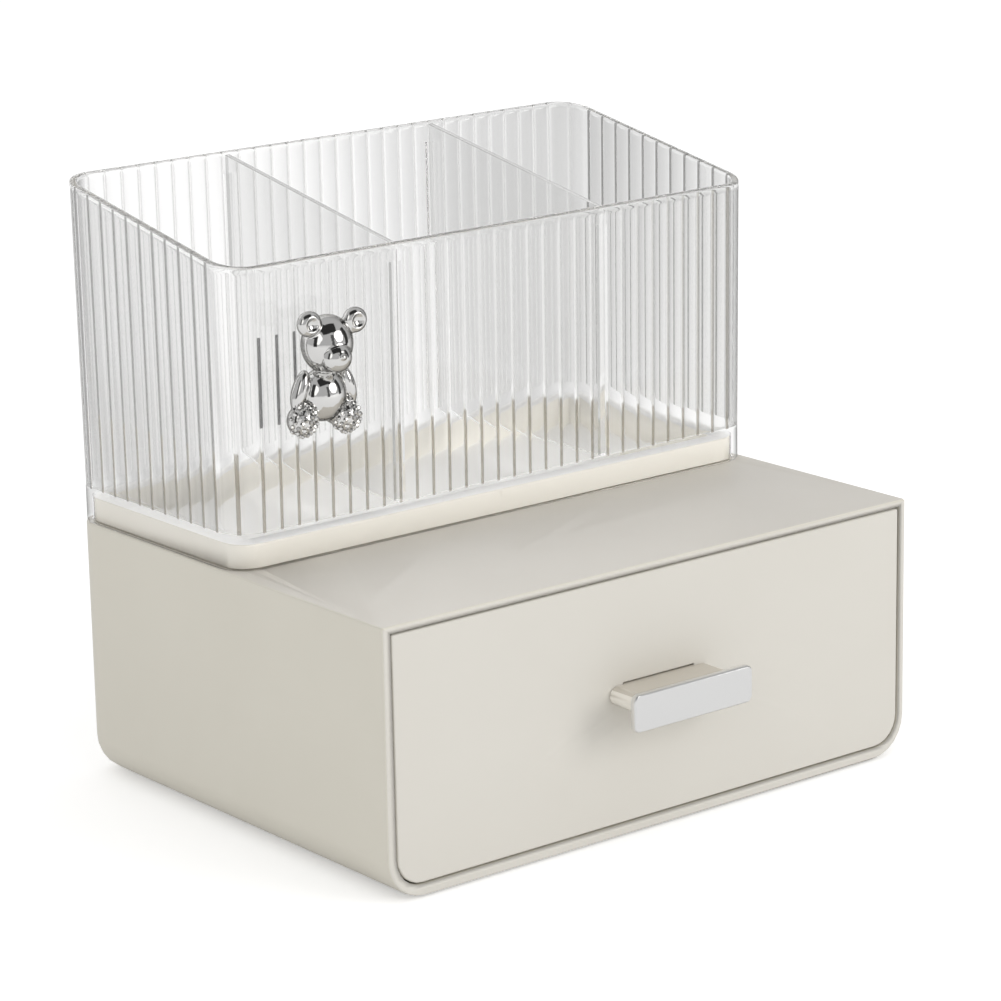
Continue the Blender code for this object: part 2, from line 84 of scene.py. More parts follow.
def makeCamera():
    azimuth = math.radians(cameraView["azimuth"])
    elevation = math.radians(cameraView["elevation"])
    back = Vector((
        math.sin(azimuth) * math.cos(elevation),
        -math.cos(azimuth) * math.cos(elevation),
        math.sin(elevation),
    ))
    right = Vector((math.cos(azimuth), math.sin(azimuth), 0))
    up = back.cross(right)
    roll = Matrix.Rotation(math.radians(cameraView["roll"]), 3, "Z")
    turn = Matrix((right, up, back)).transposed() @ roll
    camera = bpy.data.cameras.new("photoCamera")
    camera.lens = cameraView["lens"]
    camera.shift_x, camera.shift_y = cameraView["shift"]
    camera.clip_start, camera.clip_end = cameraView["clip"]
    holder = bpy.data.objects.new("photoCamera", camera)
    place = Vector(cameraView["target"]) + back * cameraView["distance"]
    holder.matrix_world = Matrix.Translation(place) @ turn.to_4x4()
    scene.collection.objects.link(holder)
    scene.camera = holder


makeCamera()
print("camera placed")


# Materials

def newMaterial(name):
    material = bpy.data.materials.new(name)
    material.use_nodes = True
    tree = material.node_tree
    return material, tree.nodes, tree.links, tree.nodes["Principled BSDF"]


def addNode(nodes, kind, **values):
    node = nodes.new(kind)
    for key, value in values.items():
        setattr(node, key, value)
    return node


def addMath(nodes, links, operation, first, second):
    node = addNode(nodes, "ShaderNodeMath", operation=operation)
    for socket, value in zip(node.inputs, (first, second)):
        if isinstance(value, (int, float)):
            socket.default_value = value
        else:
            links.new(value, socket)
    return node.outputs[0]


def addColourMix(nodes, links, share, first, second):
    mix = addNode(nodes, "ShaderNodeMix", data_type="RGBA")
    links.new(share, mix.inputs[0])
    for socket, value in ((mix.inputs[6], first), (mix.inputs[7], second)):
        if isinstance(value, tuple):
            socket.default_value = (*value, 1)
        else:
            links.new(value, socket)
    return mix.outputs[2]


def addRange(nodes, links, value, limits, **kinds):
    # Maps value from the first two limits to the last two, or to 0 and 1
    node = addNode(nodes, "ShaderNodeMapRange", **kinds)
    for key, limit in zip(("From Min", "From Max", "To Min", "To Max"), limits):
        node.inputs[key].default_value = limit
    links.new(value, node.inputs["Value"])
    return node.outputs[0]


skinInputs = {"Grain Scale": 3200.0, "Drift Scale": 24.0, "Roughness": 0.42, "Spread": 0.08}
skinDetail = {"drift": 3.0, "smear": 5.0, "grain": 2.0}
smearScale = 140.0


def makeMouldedSkin():
    # Fine grain and slow drift of a moulded plastic skin
    group = bpy.data.node_groups.new("mouldedSkin", "ShaderNodeTree")
    face = group.interface
    face.new_socket("Vector", in_out="INPUT", socket_type="NodeSocketVector")
    for name, value in skinInputs.items():
        socket = face.new_socket(name, in_out="INPUT", socket_type="NodeSocketFloat")
        socket.default_value = value
    for name in ("Tone", "Roughness", "Height"):
        face.new_socket(name, in_out="OUTPUT", socket_type="NodeSocketFloat")
    nodes, links = group.nodes, group.links
    inside = nodes.new("NodeGroupInput")
    outside = nodes.new("NodeGroupOutput")
    noises = {}
    for name, detail in skinDetail.items():
        noises[name] = nodes.new("ShaderNodeTexNoise")
        noises[name].inputs["Detail"].default_value = detail
        links.new(inside.outputs["Vector"], noises[name].inputs["Vector"])
    noises["smear"].inputs["Scale"].default_value = smearScale
    links.new(inside.outputs["Drift Scale"], noises["drift"].inputs["Scale"])
    links.new(inside.outputs["Grain Scale"], noises["grain"].inputs["Scale"])
    centred = addMath(nodes, links, "SUBTRACT", noises["smear"].outputs["Fac"], 0.5)
    spread = addMath(nodes, links, "MULTIPLY", centred, inside.outputs["Spread"])
    total = addMath(nodes, links, "ADD", spread, inside.outputs["Roughness"])
    links.new(noises["drift"].outputs["Fac"], outside.inputs["Tone"])
    links.new(total, outside.inputs["Roughness"])
    links.new(noises["grain"].outputs["Fac"], outside.inputs["Height"])
    return group


mouldedSkin = makeMouldedSkin()


def addSkin(nodes, links, shader, finish):
    # Places the skin group and feeds colour, roughness and bump from it
    place = nodes.new("ShaderNodeTexCoord")
    skin = nodes.new("ShaderNodeGroup")
    skin.node_tree = mouldedSkin
    for socket, key in (
        ("Grain Scale", "grainScale"),
        ("Drift Scale", "driftScale"),
        ("Roughness", "roughness"),
        ("Spread", "spread"),
    ):
        skin.inputs[socket].default_value = finish[key]
    links.new(place.outputs["Object"], skin.inputs["Vector"])
    if "light" in finish:
        tone = addColourMix(nodes, links, skin.outputs["Tone"], finish["dark"], finish["light"])
        links.new(tone, shader.inputs["Base Color"])
    links.new(skin.outputs["Roughness"], shader.inputs["Roughness"])
    bump = nodes.new("ShaderNodeBump")
    bump.inputs["Strength"].default_value = finish["bump"]
    bump.inputs["Distance"].default_value = finish["grainDepth"]
    links.new(skin.outputs["Height"], bump.inputs["Height"])
    links.new(bump.outputs["Normal"], shader.inputs["Normal"])


plasticFinishes = {
    "caseCream": {
        "dark": (0.655, 0.625, 0.545), "light": (0.70, 0.672, 0.592),
        "roughness": 0.40, "spread": 0.08,
        "grainScale": 3200, "driftScale": 22, "bump": 0.25, "grainDepth": 0.00002,
    },
    # The drawer front's cream; the case's front faces take it too, as painted light
    "frontCream": {
        "dark": (0.666, 0.641, 0.586), "light": (0.70, 0.678, 0.625),
        "roughness": 0.44, "spread": 0.08,
        "grainScale": 3200, "driftScale": 20, "bump": 0.25, "grainDepth": 0.00002,
    },
    # Whiter copy of the tray's cream for its faces that point up, with a painted glow
    "trayFloorLit": {
        "dark": (0.93, 0.925, 0.91), "light": (0.95, 0.945, 0.935),
        "roughness": 0.50, "spread": 0.06, "glow": 0.10,
        "grainScale": 2800, "driftScale": 30, "bump": 0.2, "grainDepth": 0.00002,
    },
    # The tray's cream, with a faint painted glow; the stem's sides take it too
    "trayCream": {
        "dark": (0.82, 0.788, 0.72), "light": (0.85, 0.823, 0.755),
        "roughness": 0.46, "spread": 0.06, "glow": 0.02,
        "grainScale": 2800, "driftScale": 30, "bump": 0.2, "grainDepth": 0.00002,
    },
    # Painted light: a lighter, glowing copy of the tray's cream for its inner walls
    "trayInnerLit": {
        "dark": (0.89, 0.858, 0.785), "light": (0.92, 0.893, 0.822),
        "roughness": 0.46, "spread": 0.06, "glow": 0.10,
        "grainScale": 2800, "driftScale": 30, "bump": 0.2, "grainDepth": 0.00002,
    },
    # Painted shade: a darker, cooler copy of the case's cream for the case's top faces
    "roofCreamShaded": {
        "dark": (0.622, 0.592, 0.537), "light": (0.665, 0.636, 0.583),
        "roughness": 0.40, "spread": 0.08,
        "grainScale": 3200, "driftScale": 22, "bump": 0.25, "grainDepth": 0.00002,
    },
    # Painted shade: a darker cream for the pull stem's top faces
    "stemTopShade": {
        "dark": (0.575, 0.535, 0.465), "light": (0.615, 0.575, 0.505),
        "roughness": 0.40, "spread": 0.08,
        "grainScale": 3200, "driftScale": 60, "bump": 0.25, "grainDepth": 0.00002,
    },
    "footRubber": {
        "dark": (0.42, 0.41, 0.385), "light": (0.50, 0.49, 0.46),
        "roughness": 0.78, "spread": 0.10,
        "grainScale": 2200, "driftScale": 120, "bump": 0.5, "grainDepth": 0.00004,
    },
    "padFoam": {
        "dark": (0.78, 0.78, 0.77), "light": (0.86, 0.86, 0.85),
        "roughness": 0.62, "spread": 0.10,
        "grainScale": 2600, "driftScale": 300, "bump": 0.5, "grainDepth": 0.00005,
    },
}


def makePlastic(name):
    material, nodes, links, shader = newMaterial(name)
    finish = plasticFinishes[name]
    addSkin(nodes, links, shader, finish)
    if "glow" in finish:  # painted light: the plastic glows a little, though it is no lamp
        shader.inputs["Emission Color"].default_value = (*finish["light"], 1)
        shader.inputs["Emission Strength"].default_value = finish["glow"]
    return material


metalFinishes = {
    "bearChrome": {
        "colour": (0.80, 0.795, 0.785), "roughness": 0.06, "spread": 0.05,
        # edge: the painted dark reflection at the charm's rims
        "edge": (0.13, 0.125, 0.115), "edgeRange": (0.34, 0.76),
        "grainScale": 330, "driftScale": 200, "bump": 0.30, "grainDepth": 0.00010,
    },
    "plateSatin": {
        "colour": (0.82, 0.822, 0.822), "roughness": 0.30, "spread": 0.06,
        "grainScale": 2400, "driftScale": 200, "bump": 0.15, "grainDepth": 0.00001,
    },
    "screwSteel": {
        "colour": (0.56, 0.56, 0.55), "roughness": 0.34, "spread": 0.12,
        "grainScale": 1800, "driftScale": 300, "bump": 0.3, "grainDepth": 0.00002,
    },
}


def makeMetal(name):
    finish = metalFinishes[name]
    material, nodes, links, shader = newMaterial(name)
    shader.inputs["Base Color"].default_value = (*finish["colour"], 1)
    shader.inputs["Metallic"].default_value = 1
    addSkin(nodes, links, shader, finish)
    if "edge" in finish:  # painted dark reflection: the chrome darkens where the eye meets it at a low angle
        weight = nodes.new("ShaderNodeLayerWeight")
        facing = weight.outputs["Facing"]
        share = addRange(nodes, links, facing, finish["edgeRange"], interpolation_type="SMOOTHSTEP")
        colour = addColourMix(nodes, links, share, finish["colour"], finish["edge"])
        links.new(colour, shader.inputs["Base Color"])
    return material


clearFinish = {
    "colour": (0.992, 0.992, 0.99), "roughness": 0.02, "spread": 0.02,
    "ior": 1.49, "lampShare": (1.0, 1.0, 1.0),
    "grainScale": 60, "driftScale": 60, "bump": 0.02, "grainDepth": 0.0002,
    "aslantShade": (0.28, 0.28, 0.277),  # painted shade: its colour where it is looked along rather than through
    "aslantRange": (0.27, 0.70),
    "skirtAslantRange": (0.48, 0.82),
    # Painted shade: the right ends of the long walls are greyer, between these values of x
    "paintedEndShade": (0.915, 0.915, 0.912),
    "endGreyRange": (0.045, 0.092),
}
# Painted light and shade on the cup's ribs
ribPaintedShading = {
    # x where the front ribs' line of painted shade starts to sink and where it ends, its heights
    # there
    "line": (0.010, 0.095, 0.1165, 0.0970),
    "fade": 0.0006,
    # painted brown shade below the line
    "low": (0.36, 0.33, 0.28),
    "lowUpTo": 0.075,  # y past which the back wall's ribs are clear all the way down
    # white above the line; the share of it that the ribs don't let through is a painted highlight
    "high": (1.0, 1.0, 1.0),
    # painted grey shade on the side walls' ribs, outside and met from within
    "side": (0.34, 0.34, 0.335),
    "farSide": (0.20, 0.20, 0.197),
    "sideFrom": 0.0985,
    # x where the long walls' ribs start to grey with painted shade and where they are greyest, the
    # shares there
    "farEnd": (0.040, 0.088, 0.0, 0.85),
    # The box in which the ribs beside the charm show a painted reflection of it
    "paintedReflection": (0.10, 0.10, 0.10),
    "mirrorFrom": (-0.0905, -0.02, 0.1235),
    "mirrorTo": (-0.0760, 0.01, 0.1500),
    # share the ribs let through; the rest shows their painted colour
    "through": 0.80,
}
slabIor = 1.02
skirtIor = 1.03
plateIor = 1.20


def splitPlace(nodes, links, vector):
    parts = nodes.new("ShaderNodeSeparateXYZ")
    links.new(vector, parts.inputs[0])
    return parts.outputs


def makeRibPaintedShading():
    # Painted light and shade: clear above and brown below a sinking line in front, grey at the
    # right end and on the sides
    group = bpy.data.node_groups.new("ribPaintedShading", "ShaderNodeTree")
    face = group.interface
    face.new_socket("Vector", in_out="INPUT", socket_type="NodeSocketVector")
    face.new_socket("Color", in_out="OUTPUT", socket_type="NodeSocketColor")
    face.new_socket("Inner Color", in_out="OUTPUT", socket_type="NodeSocketColor")
    nodes, links = group.nodes, group.links
    inside = nodes.new("NodeGroupInput")
    outside = nodes.new("NodeGroupOutput")
    parts = splitPlace(nodes, links, inside.outputs["Vector"])
    line = addRange(nodes, links, parts["X"], ribPaintedShading["line"])
    over = addMath(nodes, links, "SUBTRACT", parts["Z"], line)
    fade = ribPaintedShading["fade"]
    mask = addRange(nodes, links, over, (-fade, fade), interpolation_type="SMOOTHSTEP")
    aside = addMath(nodes, links, "ABSOLUTE", parts["X"], 0)
    side = addMath(nodes, links, "GREATER_THAN", aside, ribPaintedShading["sideFrom"])
    end = addRange(nodes, links, parts["X"], ribPaintedShading["farEnd"])
    front = addColourMix(nodes, links, end, ribPaintedShading["high"], ribPaintedShading["low"])
    high = addColourMix(nodes, links, side, front, ribPaintedShading["side"])
    behind = addMath(nodes, links, "GREATER_THAN", parts["Y"], ribPaintedShading["lowUpTo"])
    clear = addMath(nodes, links, "MAXIMUM", mask, behind)
    shaded = addColourMix(nodes, links, clear, ribPaintedShading["low"], high)
    beside = 1
    for axis, low, top in zip("XYZ", ribPaintedShading["mirrorFrom"], ribPaintedShading["mirrorTo"]):
        for operation, limit in (("GREATER_THAN", low), ("LESS_THAN", top)):
            inRange = addMath(nodes, links, operation, parts[axis], limit)
            beside = addMath(nodes, links, "MULTIPLY", beside, inRange)
    # Painted reflection of the charm in the ribs beside it
    mirrored = addColourMix(nodes, links, beside, shaded, ribPaintedShading["paintedReflection"])
    links.new(mirrored, outside.inputs["Color"])
    within = addColourMix(nodes, links, side, clearFinish["colour"], ribPaintedShading["farSide"])
    links.new(within, outside.inputs["Inner Color"])
    return group


def addAslantShade(nodes, links, limits):
    # Painted shade: clear plastic is greyed where the eye looks along it
    weight = nodes.new("ShaderNodeLayerWeight")
    share = addRange(nodes, links, weight.outputs["Facing"], limits)
    return addColourMix(nodes, links, share, clearFinish["colour"], clearFinish["aslantShade"])


# Painted shade: greys the colour towards the right ends of the long walls
def addPaintedEndShade(nodes, links, colour):
    place = nodes.new("ShaderNodeTexCoord")
    parts = splitPlace(nodes, links, place.outputs["Object"])
    grey = addNode(nodes, "ShaderNodeMix", data_type="RGBA", blend_type="MULTIPLY")
    share = addRange(nodes, links, parts["X"], clearFinish["endGreyRange"])
    links.new(share, grey.inputs[0])
    links.new(colour, grey.inputs[6])
    grey.inputs[7].default_value = (*clearFinish["paintedEndShade"], 1)
    return grey.outputs[2]


def addRibColour(nodes, links):
    # Only the wall nearest the eye shows its ribs' painted light and shade; the far wall is met
    # from within
    place = nodes.new("ShaderNodeTexCoord")
    ribShading = nodes.new("ShaderNodeGroup")
    ribShading.node_tree = makeRibPaintedShading()
    met = nodes.new("ShaderNodeNewGeometry")
    links.new(place.outputs["Object"], ribShading.inputs["Vector"])
    grey = addNode(nodes, "ShaderNodeMix", data_type="RGBA", blend_type="MULTIPLY")
    grey.inputs[0].default_value = 1
    links.new(ribShading.outputs["Color"], grey.inputs[6])
    links.new(addAslantShade(nodes, links, clearFinish["aslantRange"]), grey.inputs[7])
    backfacing = met.outputs["Backfacing"]
    return addColourMix(nodes, links, backfacing, grey.outputs[2], ribShading.outputs["Inner Color"])


def makeClear(name, ior, ribbed=False, greying=None, paintedEndShade=False):
    # Moulded clear plastic; rays towards lamps pass it, so what is inside stays lit
    material, nodes, links, shader = newMaterial(name)
    shader.inputs["Base Color"].default_value = (*clearFinish["colour"], 1)
    shader.inputs["Transmission Weight"].default_value = 1
    shader.inputs["IOR"].default_value = ior
    addSkin(nodes, links, shader, clearFinish)
    # Painted shade on clear walls seen at a slant
    if greying:
        colour = addAslantShade(nodes, links, greying)
        if paintedEndShade:
            colour = addPaintedEndShade(nodes, links, colour)
        links.new(colour, shader.inputs["Base Color"])
    # Painted light and shade on the ribs
    if ribbed:
        links.new(addRibColour(nodes, links), shader.inputs["Base Color"])
        shader.inputs["Transmission Weight"].default_value = ribPaintedShading["through"]
    rays = nodes.new("ShaderNodeLightPath")
    through = nodes.new("ShaderNodeBsdfTransparent")
    through.inputs["Color"].default_value = (*clearFinish["lampShare"], 1)
    mix = nodes.new("ShaderNodeMixShader")
    links.new(rays.outputs["Is Shadow Ray"], mix.inputs["Fac"])
    links.new(shader.outputs[0], mix.inputs[1])
    links.new(through.outputs[0], mix.inputs[2])
    links.new(mix.outputs[0], nodes["Material Output"].inputs["Surface"])
    return material


caseCream = makePlastic("caseCream")
frontCream = makePlastic("frontCream")
trayCream = makePlastic("trayCream")
footRubber = makePlastic("footRubber")
padFoam = makePlastic("padFoam")
bearChrome = makeMetal("bearChrome")
plateSatin = makeMetal("plateSatin")
screwSteel = makeMetal("screwSteel")
stemTopShade = makePlastic("stemTopShade")
clearPlastic = makeClear("clearPlastic", clearFinish["ior"])
clearFlute = makeClear(
    "clearFlute", clearFinish["ior"], greying=clearFinish["aslantRange"], paintedEndShade=True
)
clearRibPainted = makeClear("clearRibPainted", clearFinish["ior"], ribbed=True)
clearSlab = makeClear("clearSlab", slabIor)
clearSkirt = makeClear("clearSkirt", skirtIor, greying=clearFinish["skirtAslantRange"])
clearPlate = makeClear("clearPlate", plateIor, greying=clearFinish["aslantRange"])
trayFloorLit = makePlastic("trayFloorLit")
trayInnerLit = makePlastic("trayInnerLit")
roofCreamShaded = makePlastic("roofCreamShaded")
print("materials made")


# Mesh helpers

def addObject(name, bm, material=None):
    mesh = bpy.data.meshes.new(name)
    bm.to_mesh(mesh)
    bm.free()
    if material:
        mesh.materials.append(material)
    made = bpy.data.objects.new(name, mesh)
    scene.collection.objects.link(made)
    return made


def smoothShade(mesh, sharpAngle):
    mesh.shade_smooth()
    mesh.set_sharp_from_angle(angle=math.radians(sharpAngle))


def addPiece(name, bm, material, body, sharpAngle=None):
    piece = addObject(name, bm, material)
    if sharpAngle:
        smoothShade(piece.data, sharpAngle)
    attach(piece, body)
    return piece


def applyModifiers(piece):
    graph = bpy.context.evaluated_depsgraph_get()
    mesh = bpy.data.meshes.new_from_object(piece.evaluated_get(graph))
    piece.modifiers.clear()
    old = piece.data
    piece.data = mesh
    bpy.data.meshes.remove(old)


sharpAngles = {"solids": 50, "cup": 35, "bear": 60}
mergeDistance = 0.000002


def finishNode(name, material, body):
    # A merged, smoothly shaded copy of a solid, for pieces whose rounded edges show
    bm = bmesh.new()
    bm.from_mesh(frame["nodes"][name].data)
    bmesh.ops.remove_doubles(bm, verts=bm.verts[:], dist=mergeDistance)
    piece = addPiece(name + "Skin", bm, material, body, sharpAngles["solids"])
    weighted = piece.modifiers.new("flatFaces", "WEIGHTED_NORMAL")
    weighted.keep_sharp = True
    weighted.weight = 100
    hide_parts(name)
    return piece


plateTop = {"width": 0.0005, "segments": 3, "flatAngle": 1, "upFrom": 0.9}


def softenTop(piece):
    # Rounds the long top edges of an upright plate
    bm = bmesh.new()
    bm.from_mesh(piece.data)
    flat = math.radians(plateTop["flatAngle"])
    bmesh.ops.dissolve_limit(bm, angle_limit=flat, verts=bm.verts[:], edges=bm.edges[:])
    top = [face for face in bm.faces if face.normal.z > plateTop["upFrom"]]
    rims = [edge for edge in bm.edges if sum(face in top for face in edge.link_faces) == 1]
    bmesh.ops.bevel(
        bm, geom=rims, offset=plateTop["width"], segments=plateTop["segments"],
        profile=0.5, affect="EDGES", material=-1,
    )
    bm.to_mesh(piece.data)
    bm.free()
    smoothShade(piece.data, sharpAngles["solids"])


def refinishOrPaintLight(piece, material, chosen):
    # Another material for the faces that the test picks: mostly lit or shaded copies of the piece's
    # own, that is painted light and shade
    piece.data.materials.append(material)
    last = len(piece.data.materials) - 1
    for polygon in piece.data.polygons:
        if chosen(polygon):
            polygon.material_index = last


# Cup: the walls are one sheet of faces bent round a rounded rectangle, then closed below

cupForm = {
    "lowZ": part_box("organizer_cup")[0].z,
    "slabLow": 0.0890,
    "slabTop": 0.0920,
    "halfX": 0.0997,
    "frontY": -0.00145,
    "backY": 0.08535,
    "cornerRadius": 0.0100,
    "wall": 0.0024,
    "skirtWall": 0.0022,
    "draft": 0.0005,
    "rimFrontZ": 0.1703,
    "rimBackZ": 0.1868,
    "lip": 0.0014,
    "runOut": 0.0007,
    "flutesLong": 29,
    "flutesShort": 10,
    "flutesCorner": 2,
    "ribHeight": 0.000085,
    "ribHalf": 0.00052,
    "fluteSag": 0.000065,
    "pointsHalfRib": 6,
    "pointsHalfFlute": 5,
    "edgeRound": 0.0005,
    "holdLoop": 0.0004,
    "floorFillet": 0.0010,
    "footRound": 0.0003,
    "arcSteps": 5,
    "ribShare": 0.99,  # of a rib's half width that counts as rib when a face's middle is tested
    "mergeDistance": 0.000001,
    # How much a face's normal points up or down: flat faces, the fillet's upper ones, upright walls
    "flatFrom": 0.999,
    "filletFrom": 0.1,
    "uprightUpTo": 0.3,
    "inset": 0.00005,  # how far inside the inner wall a guide's face has to be
}
guideForm = {
    "spacing": 0.0792,
    "gapHalf": 0.0012,
    "thickness": 0.0010,
    "depth": 0.0022,
    "sink": 0.0011,
    "drop": 0.0060,
    "foot": 0.0006,
    "around": 0.0001,  # how far past the guides' own faces the wall takes their finish
}


flutePitch = 2 * (cupForm["halfX"] - cupForm["cornerRadius"]) / cupForm["flutesLong"]


def cupRimZ(y):
    share = (y - cupForm["frontY"]) / (cupForm["backY"] - cupForm["frontY"])
    return cupForm["rimFrontZ"] + share * (cupForm["rimBackZ"] - cupForm["rimFrontZ"])


def fluteDip(across):
    # How far the wall lies inside its ribs' crests, from one crest (0) to the next (1)
    near = min(across, 1 - across)
    half, height = cupForm["ribHalf"], cupForm["ribHeight"]
    rib = half / flutePitch
    if near < rib:
        radius = (half * half + height * height) / (2 * height)
        return radius - math.sqrt(radius * radius - (near * flutePitch) ** 2)
    share = (near - rib) / (0.5 - rib)
    return height + cupForm["fluteSag"] * share * (2 - share)


def fluteShares():
    # More points on the narrow rib than on the wide flute
    onRib, onFlute = cupForm["pointsHalfRib"], cupForm["pointsHalfFlute"]
    rib = cupForm["ribHalf"] / flutePitch
    half = [rib * step / onRib for step in range(onRib)]
    half += [rib + (0.5 - rib) * step / onFlute for step in range(onFlute)]
    return half + [0.5] + [1 - share for share in half[:0:-1]]


def cupStations():
    # Each station round the wall: its side, the share along it, and the share across its flute
    stations = []
    shares = fluteShares()
    for side in range(4):
        flutes = cupForm["flutesLong"] if side % 2 == 0 else cupForm["flutesShort"]
        for corner, number in ((False, flutes), (True, cupForm["flutesCorner"])):
            for flute in range(number):
                for share in shares:
                    stations.append((side, corner, (flute + share) / number, share))
    return stations


def cupPoint(station, grow, dipShare):
    side, corner, along, across = station
    halves = (cupForm["halfX"] + grow, (cupForm["backY"] - cupForm["frontY"]) / 2 + grow)
    radius = cupForm["cornerRadius"] + grow
    reach, out = halves if side % 2 == 0 else halves[::-1]
    if corner:
        angle = (along - 1) * math.pi / 2
        normal = Vector((math.cos(angle), math.sin(angle)))
        base = Vector((reach - radius, radius - out)) + normal * radius
    else:
        normal = Vector((0, -1))
        base = Vector(((reach - radius) * (2 * along - 1), -out))
    point = Matrix.Rotation(side * math.pi / 2, 2) @ (base - normal * fluteDip(across) * dipShare)
    return point.x, point.y + (cupForm["frontY"] + cupForm["backY"]) / 2


def cupStages():
    # Outline growth, share of the flute's dip, height above a level, in order round the section.
    # A height in brackets is measured from the rim
    form = cupForm
    low, slabLow, slabTop = form["lowZ"], form["slabLow"], form["slabTop"]
    skirt, wall, draft, foot = form["skirtWall"], form["wall"], form["draft"], form["footRound"]
    stages = [(-skirt, 0, slabLow), (-skirt, 0, low + foot), (foot - skirt, 0, low)]
    stages += [(-foot, 0, low), (0, 0, low + foot)]
    hold = form["holdLoop"]
    stages += [(0, 0, low + hold), (0, 0, slabTop - hold), (0, 0, slabTop)]
    steps = form["arcSteps"] - 1
    quarter = [math.pi / 2 * step / steps for step in range(form["arcSteps"])]
    shares = [step / steps for step in range(form["arcSteps"])]
    for share in shares[1:]:
        stages.append((0, math.sin(share * math.pi / 2), slabTop + form["runOut"] * share))
    stages.append((0, 1, slabTop + form["runOut"] + hold))
    top = -form["lip"]
    stages.append((draft, 1, (top - form["runOut"] - hold,)))
    for share in shares[::-1]:
        stages.append((draft, math.sin(share * math.pi / 2), (top - form["runOut"] * share,)))
    edge = form["edgeRound"]
    stages.append((draft, 0, (-edge - hold,)))
    for angle in quarter:
        stages.append((draft - edge * (1 - math.cos(angle)), 0, (-edge * (1 - math.sin(angle)),)))
    inner = draft - wall
    for angle in quarter:
        stages.append((inner + edge * (1 - math.sin(angle)), 0, (-edge * (1 - math.cos(angle)),)))
    fillet = form["floorFillet"]
    stages.append((inner, 0, (-edge - hold,)))
    stages.append((-wall, 0, slabTop + fillet + hold))
    for angle in quarter:
        grow = -wall - fillet * (1 - math.cos(angle))
        stages.append((grow, 0, slabTop + fillet * (1 - math.sin(angle))))
    return stages


def onRib(polygon):
    # Whether an upright outer face lies on a rib, told by how far round the outline its middle is
    x, y, z = polygon.center
    low = z < cupForm["slabTop"] + cupForm["runOut"] / 2
    if low or abs(polygon.normal.z) > cupForm["uprightUpTo"]:
        return False
    middle = (cupForm["frontY"] + cupForm["backY"]) / 2
    halfX, halfY = cupForm["halfX"], (cupForm["backY"] - cupForm["frontY"]) / 2
    radius = cupForm["cornerRadius"]
    overX, overY = abs(x) - (halfX - radius), abs(y - middle) - (halfY - radius)
    if overX > 0 and overY > 0:
        outward = math.hypot(overX, overY) - radius
        across = math.atan2(overY, overX) / (math.pi / 2) * cupForm["flutesCorner"]
    elif overX > 0:
        outward = overX - radius
        across = (y - middle + halfY - radius) / (2 * (halfY - radius)) * cupForm["flutesShort"]
    else:
        outward = overY - radius
        across = (x + halfX - radius) / (2 * (halfX - radius)) * cupForm["flutesLong"]
    upwards = (z - cupForm["slabTop"]) / (cupForm["rimBackZ"] - cupForm["slabTop"])
    outward -= cupForm["draft"] * upwards
    if outward < -cupForm["wall"] / 2:
        return False
    across -= math.floor(across)
    return min(across, 1 - across) < cupForm["ribHalf"] / flutePitch * cupForm["ribShare"]


cupFinishes = {
    "plain": clearPlastic,
    "rib": clearRibPainted,
    "slab": clearSlab,
    "flute": clearFlute,
    "skirt": clearSkirt,
}


def isSlabFace(polygon):
    low = polygon.center.z < cupForm["slabTop"] + cupForm["floorFillet"]
    return low and abs(polygon.normal.z) > cupForm["flatFrom"]


def faceKind(polygon):
    x, y, z = polygon.center
    slabTop, guides = cupForm["slabTop"], guideForm
    wall = cupForm["wall"] + cupForm["inset"]
    inside = cupForm["frontY"] + wall < y < cupForm["backY"] - wall
    aside = abs(abs(x) - guides["spacing"] / 2)
    nearGuide = aside < guides["gapHalf"] + guides["thickness"] + guides["around"]
    onFillet = 0 < z - slabTop < cupForm["floorFillet"]
    if isSlabFace(polygon) or onFillet and polygon.normal.z > cupForm["filletFrom"]:
        return "slab"
    if onRib(polygon):
        return "rib"
    if z < slabTop + cupForm["runOut"] / 2:
        return "skirt"
    if inside and nearGuide:
        return "slab"
    return "flute" if z < cupRimZ(y) - cupForm["lip"] else "plain"


def makeGuides():
    bm = bmesh.new()
    form = guideForm
    frontWall = cupForm["frontY"] + cupForm["wall"]
    backWall = cupForm["backY"] - cupForm["wall"]
    for x in (-form["spacing"] / 2, form["spacing"] / 2):
        for side in (-1, 1):
            for wallY, inward in ((frontWall, 1), (backWall, -1)):
                low = Vector((
                    x + side * form["gapHalf"],
                    wallY - inward * form["sink"],
                    cupForm["slabTop"] - form["foot"],
                ))
                high = Vector((
                    x + side * (form["gapHalf"] + form["thickness"]),
                    wallY + inward * form["depth"],
                    cupRimZ(wallY) - form["drop"],
                ))
                size = high - low
                scaling = Matrix.Diagonal((abs(size.x), abs(size.y), abs(size.z), 1))
                middle = Matrix.Translation((low + high) / 2)
                bmesh.ops.create_cube(bm, size=1, matrix=middle @ scaling)
    return addObject("guideRibs", bm)


